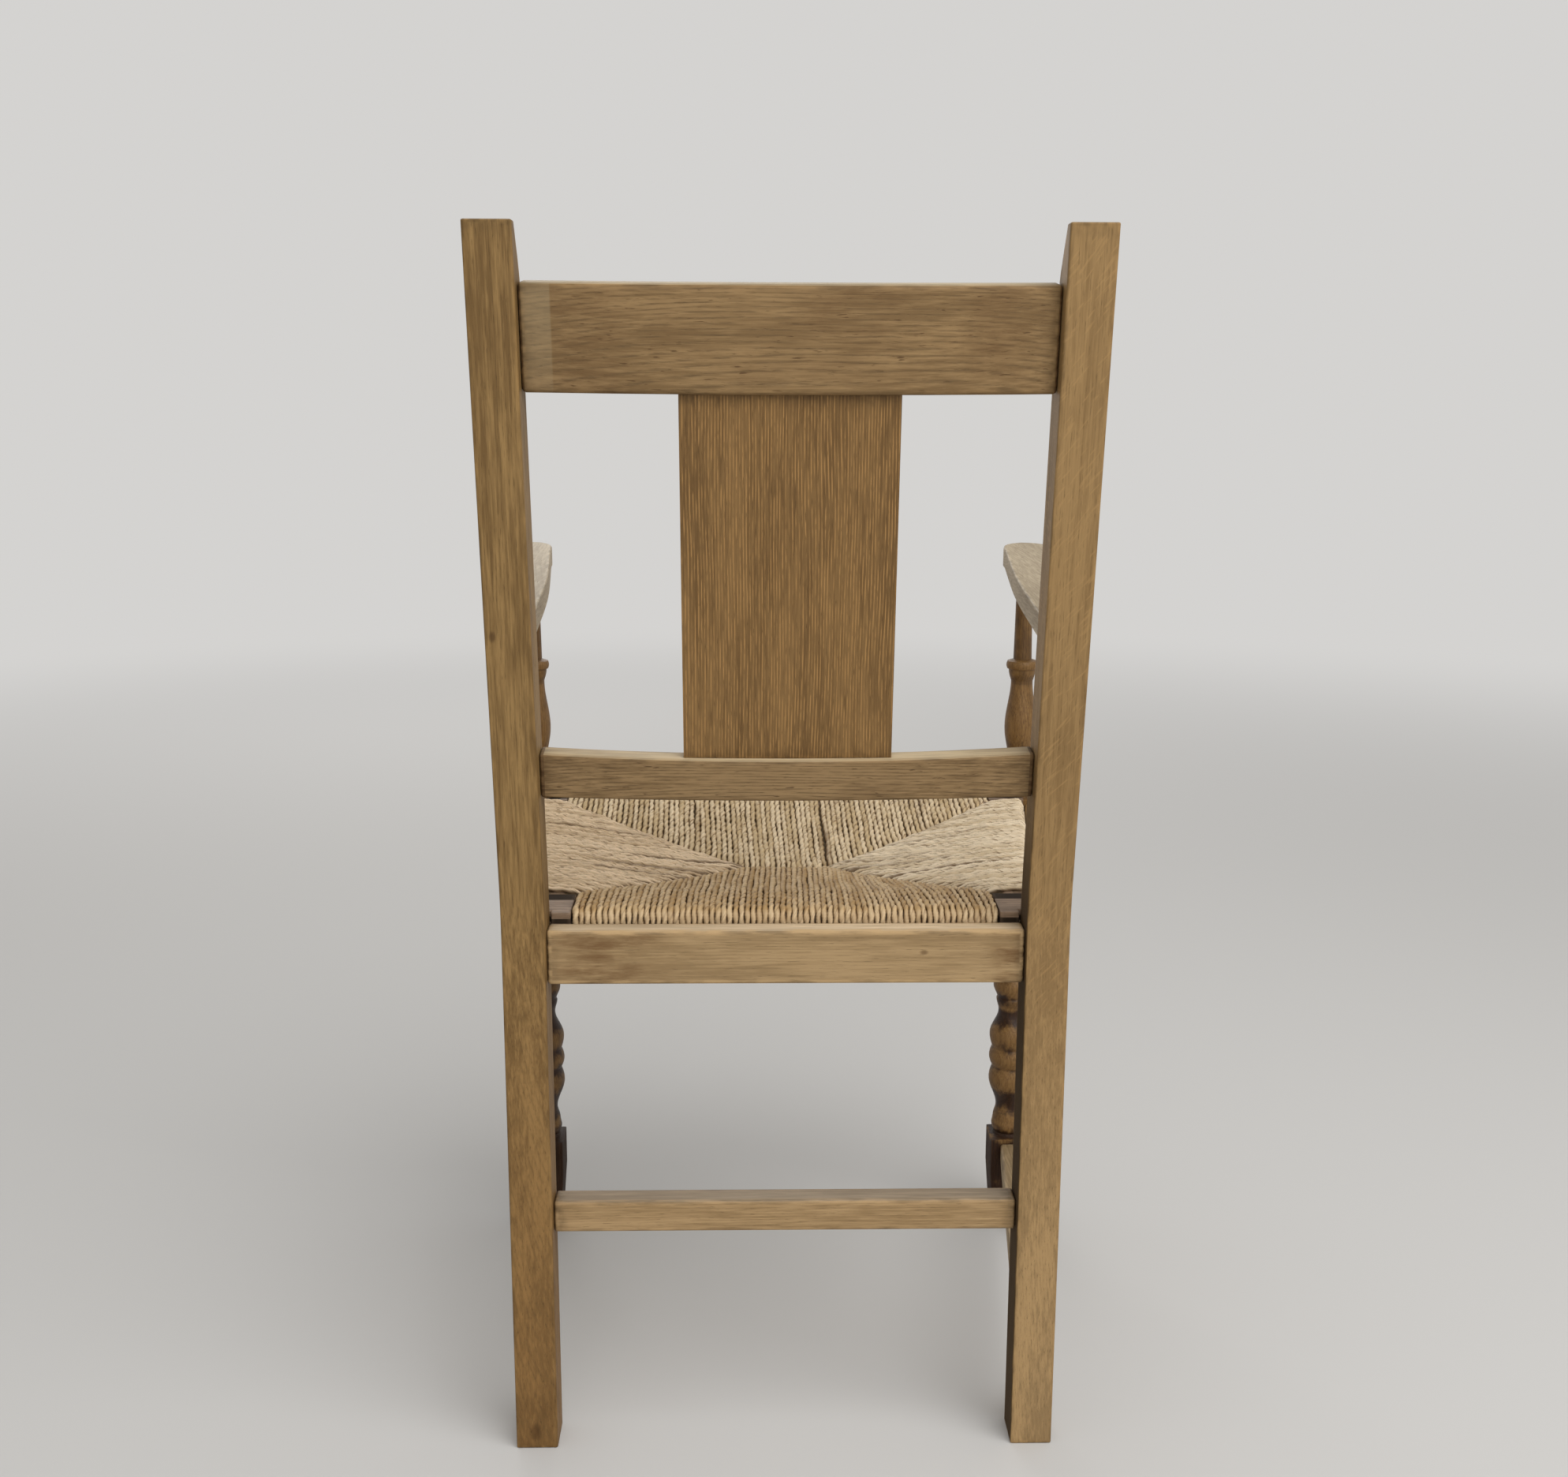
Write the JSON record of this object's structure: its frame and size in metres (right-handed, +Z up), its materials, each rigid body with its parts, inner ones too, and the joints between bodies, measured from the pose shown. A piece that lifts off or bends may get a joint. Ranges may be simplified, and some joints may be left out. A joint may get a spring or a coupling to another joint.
{
  "type": "rush seat armchair",
  "caption": "Open-backed oak armchair for a dining table, with raked rear posts, a flat splat, turned front legs and a loose woven rush seat that lifts out.",
  "frame": {"origin": "on the floor, at the middle of the bounding box in plan", "axes": "+Z up, -Y towards the front of the chair, +X towards the sitter's left"},
  "size_m": [0.592, 0.5659, 1.037],
  "materials": {
    "rear_post_left": "waxed oak, grain visible, worn at the edges",
    "rear_post_right": "waxed oak, grain visible, worn at the edges",
    "top_rail": "waxed oak, grain visible, worn at the edges",
    "lower_back_rail": "waxed oak, grain visible, worn at the edges",
    "back_splat": "waxed oak, grain visible, worn at the edges",
    "rear_seat_rail": "waxed oak, grain visible, worn at the edges",
    "front_seat_rail": "waxed oak, grain visible, worn at the edges",
    "side_seat_rail_left": "waxed oak, grain visible, worn at the edges",
    "side_seat_rail_right": "waxed oak, grain visible, worn at the edges",
    "front_leg_left": "turned oak, darker in the hollows",
    "front_leg_right": "turned oak, darker in the hollows",
    "arm_left": "pale worn oak, finish rubbed away",
    "arm_right": "pale worn oak, finish rubbed away",
    "side_stretcher_left": "waxed oak, grain visible, worn at the edges",
    "side_stretcher_right": "waxed oak, grain visible, worn at the edges",
    "rear_stretcher": "waxed oak, grain visible, worn at the edges",
    "seat_block_rear_left": "bare seat wood, dull and greyed",
    "seat_block_rear_right": "bare seat wood, dull and greyed",
    "seat_block_front_left": "bare seat wood, dull and greyed",
    "seat_block_front_right": "bare seat wood, dull and greyed",
    "seat_bar_rear": "bare softwood or oak, hidden by the rush",
    "seat_bar_front": "bare softwood or oak, hidden by the rush",
    "seat_bar_left": "bare softwood or oak, hidden by the rush",
    "seat_bar_right": "bare softwood or oak, hidden by the rush",
    "rush_seat": "twisted rush strands, straw coloured, dry"
  },
  "bodies": {
    "frame": {"rear_post_left": "rear_post_left", "rear_post_right": "rear_post_right", "top_rail": "top_rail", "lower_back_rail": "lower_back_rail", "back_splat": "back_splat", "rear_seat_rail": "rear_seat_rail", "front_seat_rail": "front_seat_rail", "side_seat_rail_left": "side_seat_rail_left", "side_seat_rail_right": "side_seat_rail_right", "front_leg_left": "front_leg_left", "front_leg_right": "front_leg_right", "arm_left": "arm_left", "arm_right": "arm_right", "side_stretcher_left": "side_stretcher_left", "side_stretcher_right": "side_stretcher_right", "rear_stretcher": "rear_stretcher"},
    "loose_seat": {"seat_block_rear_left": "seat_block_rear_left", "seat_block_rear_right": "seat_block_rear_right", "seat_block_front_left": "seat_block_front_left", "seat_block_front_right": "seat_block_front_right", "seat_bar_rear": "seat_bar_rear", "seat_bar_front": "seat_bar_front", "seat_bar_left": "seat_bar_left", "seat_bar_right": "seat_bar_right", "rush_seat": "rush_seat"}
  },
  "joints": [
    {"name": "seat_lift", "type": "slide", "parent": "frame", "child": "loose_seat", "axis": [0, 0, 1], "range_m": [0, 0.06]}
  ]
}
